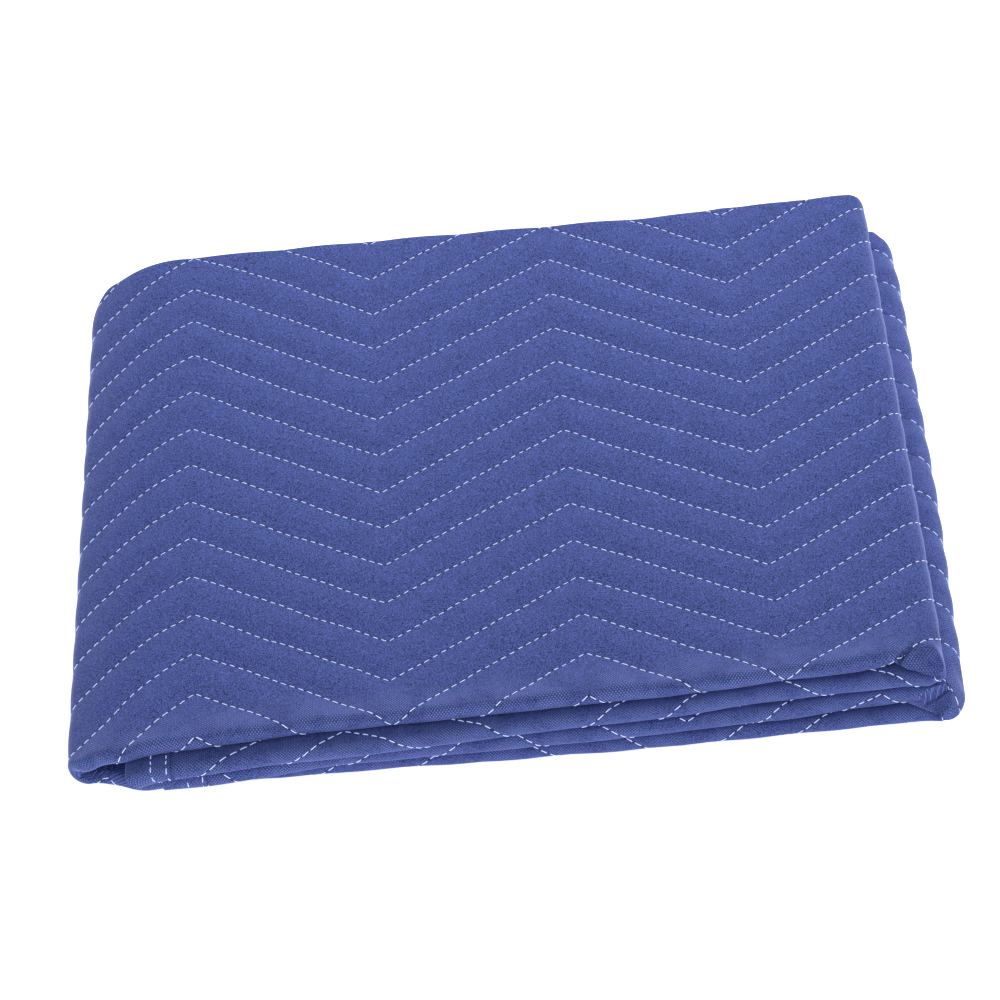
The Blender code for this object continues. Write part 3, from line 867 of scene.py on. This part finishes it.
# Stitches of the two rows on a binding, at even distances from the cloth's end.
def bindingStitches(atStart):
    pitch = binding["stitchPitch"]
    across = np.arange(-binding["halfRow"], binding["halfRow"], pitch)
    rows = []
    for index, row in enumerate(binding["rows"]):
        place = np.full_like(across, row if atStart else flatLength - row)
        rows.append(np.stack([place, across + binding["stagger"] * pitch * index], axis=-1))
    middles = np.concatenate(rows)
    draw = np.random.default_rng(8 if atStart else 9)
    turned = binding["unevenTurn"] * draw.uniform(-1, 1, len(middles))
    return middles, np.stack([turned, np.full(len(middles), pitch * binding["stitchHalf"])], axis=-1)


# Whether a place is near the front fold, or just before or round the tight turn at the back.
def onEdges(s, u, nearFold):
    turn, far = backTurn(*edgesAt(s)), np.abs(u)
    return (far < nearFold) | ((far > turn - seen["beforeTurn"]) & (far < turn + backFold))


# Keeps the stitches that can be seen: the upper ply of the top, wrap, turns and underside, and on the
# inner levels those on the edges.
def makeThreads():
    middles, halves = quiltingStitches()
    s, u = stripPlace(middles[:, 0], middles[:, 1])
    room = binding["width"] + seen["endRoom"]
    onCloth = (s > room) & (s < flatLength - room)
    onUpperPly = onCloth & (u > seen["upperFrom"]) & (u < backTurn(*edgesAt(s)) + backFold)
    top = onUpperPly & (past("upperRight", s) > 0.0) & (past("bottom", s) < 0.0)
    under = onUpperPly & (past("bottom", s) >= 0.0) & (past("lowerInner", s) < 0.0)
    folds = onCloth & ~top & ~under & onEdges(s, u, seen["nearFold"])
    pieces = [makeStitches(name, middles[keep], halves[keep], stripPlace) for name, keep in
              (("threadsTop", top), ("threadsUnder", under), ("threadsFolds", folds))]
    for name, atStart in (("threadsUpperBinding", True), ("threadsLowerBinding", False)):
        middles, halves = bindingStitches(atStart)
        keep = onEdges(*middles.T, seen["bindingNearFold"])
        pieces.append(makeStitches(name, middles[keep], halves[keep], lambda place, across: (place, across)))
    return pieces


# One sRGB hex value as linear light.
def linearColour(hexText):
    parts = [int(hexText[i : i + 2], 16) / 255.0 for i in (1, 3, 5)]
    return tuple(v / 12.92 if v <= 0.04045 else ((v + 0.055) / 1.055) ** 2.4 for v in parts) + (1.0,)


# Sets or links a node's inputs: a hex value is turned to linear light, and a socket or the first output
# of a node is linked.
def setInputs(tree, node, inputs):
    for key, value in inputs.items():
        if isinstance(value, bpy.types.Node):
            value = next(socket for socket in value.outputs if socket.enabled)
        if isinstance(value, bpy.types.NodeSocket):
            tree.links.new(value, node.inputs[key])
        else:
            node.inputs[key].default_value = linearColour(value) if isinstance(value, str) else value


# Adds a shader node with its settings and inputs.
def addNode(tree, kind, settings, inputs):
    node = tree.nodes.new("ShaderNode" + kind)
    for key, value in settings.items():
        setattr(node, key, value)
    setInputs(tree, node, inputs)
    return node


# A material whose shader has these values.
def makeMaterial(name, values):
    material = bpy.data.materials.new(name)
    material.use_nodes = True
    shader = material.node_tree.nodes["Principled BSDF"]
    setInputs(material.node_tree, shader, values)
    return material, material.node_tree, shader


# The quilted face: needled polyester felt under a thin point-bonded cover, piece dyed blue. To the eye it
# is matt with a fine uneven grain and rows of tiny bonded points where it is pulled over a fold. A soft
# pale painted sheen is mixed into the colour at glancing angles, and a painted line of shade lies along each
# sewn row. The noises have a size in metres and a strength in the colour. The real fibres are about 0.02 mm
# thick and the points about 1 mm apart, both drawn coarser so that they show.
clothFinish = {
    "dark": "#222c5c",
    "light": "#586bbd",
    # the pale colour of the bonded points, which the painted sheen also mixes towards
    "dot": "#93a2e4",
    "even": "#435397",
    "noises": makeTable("name size strength detail rough", [
        ("grain", 0.00075, 9.0, 1.0, 0.6),
        ("crumple", 0.0030, 0.6, 2.0, 0.6),
        ("blotch", 0.016, 0.5, 3.0, 0.5),
    ]),
    "noiseShift": -4.55,
    "grainTurn": math.radians(35.0),
    "grainStretch": (1.0, 1.7, 1.2),
    "drawnOut": 0.50,
    "patches": (0.40, 0.58),
    "patchLeast": 0.40,
    "dots": 0.0013,
    "dotFrom": 0.30,
    "dotStrength": (0.06, 1.0),
    "grooveWide": 0.0030,
    "grooveShade": 0.45,
    "shadeWide": 0.38,
    # the painted sheen at glancing angles: its strength, and the facing where it starts and where it is full
    "paintedSheen": 0.45,
    "paintedSheenAngle": (0.62, 0.98),
    "grainBump": 0.7,
    "crumpleBump": 1.0,
    "bumpStrength": 0.6,
    "bumpDistance": 0.0005,
    "shader": {
        "Roughness": 0.92,
        "Specular IOR Level": 0.25,
        "Sheen Weight": 0.20,
        "Sheen Roughness": 0.45,
        "Sheen Tint": "#aab4ee",
    },
}


def makeClothFinish(name, finish):
    material, tree, shader = makeMaterial(name, finish["shader"])
    add = functools.partial(addNode, tree)
    soft = {"interpolation_type": "SMOOTHSTEP"}
    times = {"operation": "MULTIPLY"}
    timesPlus = {"operation": "MULTIPLY_ADD"}
    mix = {"data_type": "RGBA"}  # inputs 6 and 7 are its two colours
    rows = add("UVMap", {"uv_map": "rows"}, {})
    rows = add("SeparateXYZ", {}, {0: rows}).outputs
    number, smoothAndHighlight = rows["X"], rows["Y"]

    # Fibre grain: streaky noise on a softer crumple and a faint blotch, added up about its middle value.
    solid = add("TexCoord", {}, {}).outputs["Object"]
    turn = {"Rotation": (0.0, 0.0, finish["grainTurn"]), "Scale": finish["grainStretch"]}
    streaked = add("Mapping", {}, dict(turn, Vector=solid))
    noises = {}
    mixed = finish["noiseShift"]
    for row in finish["noises"]:
        place = streaked if row["name"] == "grain" else solid
        pattern = {"Vector": place, "Scale": 1 / row["size"]}
        pattern.update({"Detail": row["detail"], "Roughness": row["rough"]})
        noise = noises[row["name"]] = add("TexNoise", {}, pattern)
        adding = dict(timesPlus, use_clamp=row["name"] == "blotch")
        mixed = add("Math", adding, {0: noise, 1: row["strength"], 2: mixed})
    colour = add("Mix", mix, {0: mixed, 6: finish["dark"], 7: finish["light"]})

    # The grain is drawn out, in patches, where the face is pulled smooth over a fold, and along the painted
    # crest highlight.
    low, high = finish["patches"]
    limits = {"From Min": low, "From Max": high, "To Min": finish["patchLeast"]}
    patch = add("MapRange", soft, dict(limits, Value=noises["blotch"]))
    smoothAndHighlight = add("Math", times, {0: smoothAndHighlight, 1: patch})
    drawn = add("Math", times, {0: smoothAndHighlight, 1: finish["drawnOut"]})
    colour = add("Mix", mix, {0: drawn, 6: colour, 7: finish["even"]})

    # Bonded dots: a diamond grid, pale where two crossed sine waves are both near their crest, stronger
    # where the face is pulled smooth over a fold and along the painted crest highlight of the upper right turn.
    flat = add("UVMap", {"uv_map": "flat"}, {})
    turned = add("Mapping", {}, {"Vector": flat, "Rotation": (0.0, 0.0, math.radians(45.0))})
    turned = add("SeparateXYZ", {}, {0: turned}).outputs
    waves = []
    for axis in ("X", "Y"):
        turns = add("Math", times, {0: turned[axis], 1: 2 * math.pi / finish["dots"]})
        wave = add("Math", {"operation": "SINE"}, {0: turns})
        waves.append(add("Math", timesPlus, {0: wave, 1: 0.5, 2: 0.5}))
    dots = add("Math", times, {0: waves[0], 1: waves[1]})
    dots = add("MapRange", soft, {"Value": dots, "From Min": finish["dotFrom"]})
    least, most = finish["dotStrength"]
    strength = add("MapRange", {}, {"Value": smoothAndHighlight, "To Min": least, "To Max": most})
    dots = add("Math", times, {0: dots, 1: strength})
    colour = add("Mix", mix, {0: dots, 6: colour, 7: finish["dot"]})

    # The sewn groove: depth from the distance to the nearest whole row number, with a dark line of shade
    # in its bottom.
    nearest = add("Math", {"operation": "PINGPONG"}, {0: number, 1: 0.5})
    wide = finish["grooveWide"] / quilting["rowPitch"]
    shade = {"Value": nearest, "From Max": finish["shadeWide"] * wide, "To Min": finish["grooveShade"]}
    shade = add("MapRange", soft, shade)
    colour = add("VectorMath", {"operation": "SCALE"}, {0: colour, "Scale": shade})
    groove = add("MapRange", soft, {"Value": nearest, "From Max": wide})

    # Painted sheen: at glancing angles the colour is mixed towards the pale dot colour, so the crest of each
    # fold shows as a painted pale highlight line.
    glance = add("LayerWeight", {}, {"Blend": 0.5}).outputs["Facing"]
    low, high = finish["paintedSheenAngle"]
    limits = {"From Min": low, "From Max": high, "To Max": finish["paintedSheen"]}
    paintedSheen = add("MapRange", soft, dict(limits, Value=glance))
    colour = add("Mix", mix, {0: paintedSheen, 6: colour, 7: finish["dot"]})

    # The bump is the groove, the grain and the crumple together.
    height = add("Math", timesPlus, {0: noises["grain"], 1: finish["grainBump"], 2: groove})
    height = add("Math", timesPlus, {0: noises["crumple"], 1: finish["crumpleBump"], 2: height})
    bump = {"Strength": finish["bumpStrength"], "Distance": finish["bumpDistance"], "Height": height}
    setInputs(tree, shader, {"Base Color": colour, "Normal": add("Bump", {}, bump)})
    return material


# White spun polyester thread with optical brightener: a bright bluish white, slightly glossy, with a faint
# uneven twist. Its glow is painted light, an emission that makes it brighter than the lamps alone would.
threadFinish = {
    "twistDark": "#bcc9fb",
    "twistLight": "#e9efff",
    "twistScale": 400.0,
    "shader": {
        "Roughness": 0.55,
        "Sheen Weight": 0.2,
        # painted light: a bluish glow that brightens the thread
        "Emission Color": "#b9c9ff",
        "Emission Strength": 0.66,
    },
}


def makeThreadFinish():
    material, tree, shader = makeMaterial("spunPolyesterThread", threadFinish["shader"])
    flat = addNode(tree, "UVMap", {"uv_map": "flat"}, {})
    twist = addNode(tree, "TexNoise", {}, {"Vector": flat, "Scale": threadFinish["twistScale"], "Detail": 1.0})
    colours = {0: twist, 6: threadFinish["twistDark"], 7: threadFinish["twistLight"]}
    setInputs(tree, shader, {"Base Color": addNode(tree, "Mix", {"data_type": "RGBA"}, colours)})
    return material


cloth = makeCloth()
print("cloth made:", len(cloth.data.polygons), "faces")
bindings = [makeBinding("bindingUpperEnd", True), makeBinding("bindingLowerEnd", False)]
print("bindings made:", sum(len(tape.data.polygons) for tape in bindings), "faces")
threads = makeThreads()
print("stitches made:", sum(len(piece.data.polygons) for piece in threads), "faces")

# The tape is woven, a little paler in its shadows, and has no sewn grooves.
clothMaterial = makeClothFinish("needledFeltWithBondedCover", clothFinish)
tapeFinish = dict(clothFinish, dark="#2a3568", light="#5a6cbc", grooveWide=0.0001)
tapeMaterial = makeClothFinish("wovenPolyesterTape", tapeFinish)
threadMaterial = makeThreadFinish()
cloth.data.materials.append(clothMaterial)
for tape in bindings:
    tape.data.materials.append(tapeMaterial)
for piece in threads:
    piece.data.materials.append(threadMaterial)

for piece in [cloth] + bindings + threads:
    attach(piece, "root")
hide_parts("blanket")
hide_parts("binding_upper_end")
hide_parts("binding_lower_end")
print("pieces placed")

# The studio: a wide floor of lit white acrylic, an even white surround, a large soft light high at the
# back and a weaker one in front. Both are aimed at the origin.
studio = {
    "floorSize": 6.0,
    "floorDrop": 0.0002,
    "floor": {
        "Base Color": "#f4f4f4",
        "Roughness": 0.9,
        "Emission Color": "#ffffff",
        "Emission Strength": 0.80,
    },
    "surround": 0.42,
    "lights": makeTable("name place size watts", [
        ("softBack", (0.6, 1.9, 1.7), 1.2, 56.0),
        ("softFront", (0.2, -2.2, 1.2), 1.6, 9.0),
    ]),
}


def makeStudio():
    half, low = studio["floorSize"] / 2, -studio["floorDrop"]
    around = np.array([(-half, -half, low), (half, -half, low), (half, half, low), (-half, half, low)])
    floor = meshPiece("studioFloor", around, np.array([[0, 1, 2, 3]]), np.empty((0, 3), int))
    floor.data.materials.append(makeMaterial("litWhiteAcrylic", studio["floor"])[0])
    world = bpy.data.worlds.new("whiteSurround")
    bpy.context.scene.world = world
    world.use_nodes = True
    surround = {"Strength": studio["surround"], "Color": "#ffffff"}
    setInputs(world.node_tree, world.node_tree.nodes["Background"], surround)
    for row in studio["lights"]:
        light = bpy.data.lights.new(row["name"], "AREA")
        light.shape = "DISK"
        light.size = row["size"]
        light.energy = row["watts"]
        lamp = bpy.data.objects.new(row["name"], light)
        bpy.context.scene.collection.objects.link(lamp)
        lamp.location = row["place"]
        lamp.rotation_mode = "QUATERNION"
        lamp.rotation_quaternion = (-Vector(row["place"])).to_track_quat("-Z", "Y")


# The camera: its target, direction, tilt about its own axis and lens.
camera = {
    "target": (-0.0017, -0.0387, 0.0456),
    "distance": 3.02,
    "azimuth": 1.108,
    "elevation": 39.13,
    "roll": -6.087,
    "lens": 179.63,
    "sensor": 36.0,
    "clipEnd": 50.0,
}


def makeCamera():
    azimuth, elevation = math.radians(camera["azimuth"]), math.radians(camera["elevation"])
    level = math.cos(elevation)
    back = Vector((math.sin(azimuth) * level, -math.cos(azimuth) * level, math.sin(elevation)))
    lens = bpy.data.cameras.new("studioCamera")
    lens.lens = camera["lens"]
    lens.sensor_width = camera["sensor"]
    lens.clip_end = camera["clipEnd"]
    eye = bpy.data.objects.new("studioCamera", lens)
    bpy.context.scene.collection.objects.link(eye)
    eye.rotation_mode = "QUATERNION"
    eye.location = Vector(camera["target"]) + camera["distance"] * back
    tilt = Quaternion((0.0, 0.0, 1.0), math.radians(camera["roll"]))
    eye.rotation_quaternion = (-back).to_track_quat("-Z", "Y") @ tilt
    bpy.context.scene.camera = eye


makeStudio()
makeCamera()
bpy.context.scene.view_settings.view_transform = "Standard"
print("studio made")
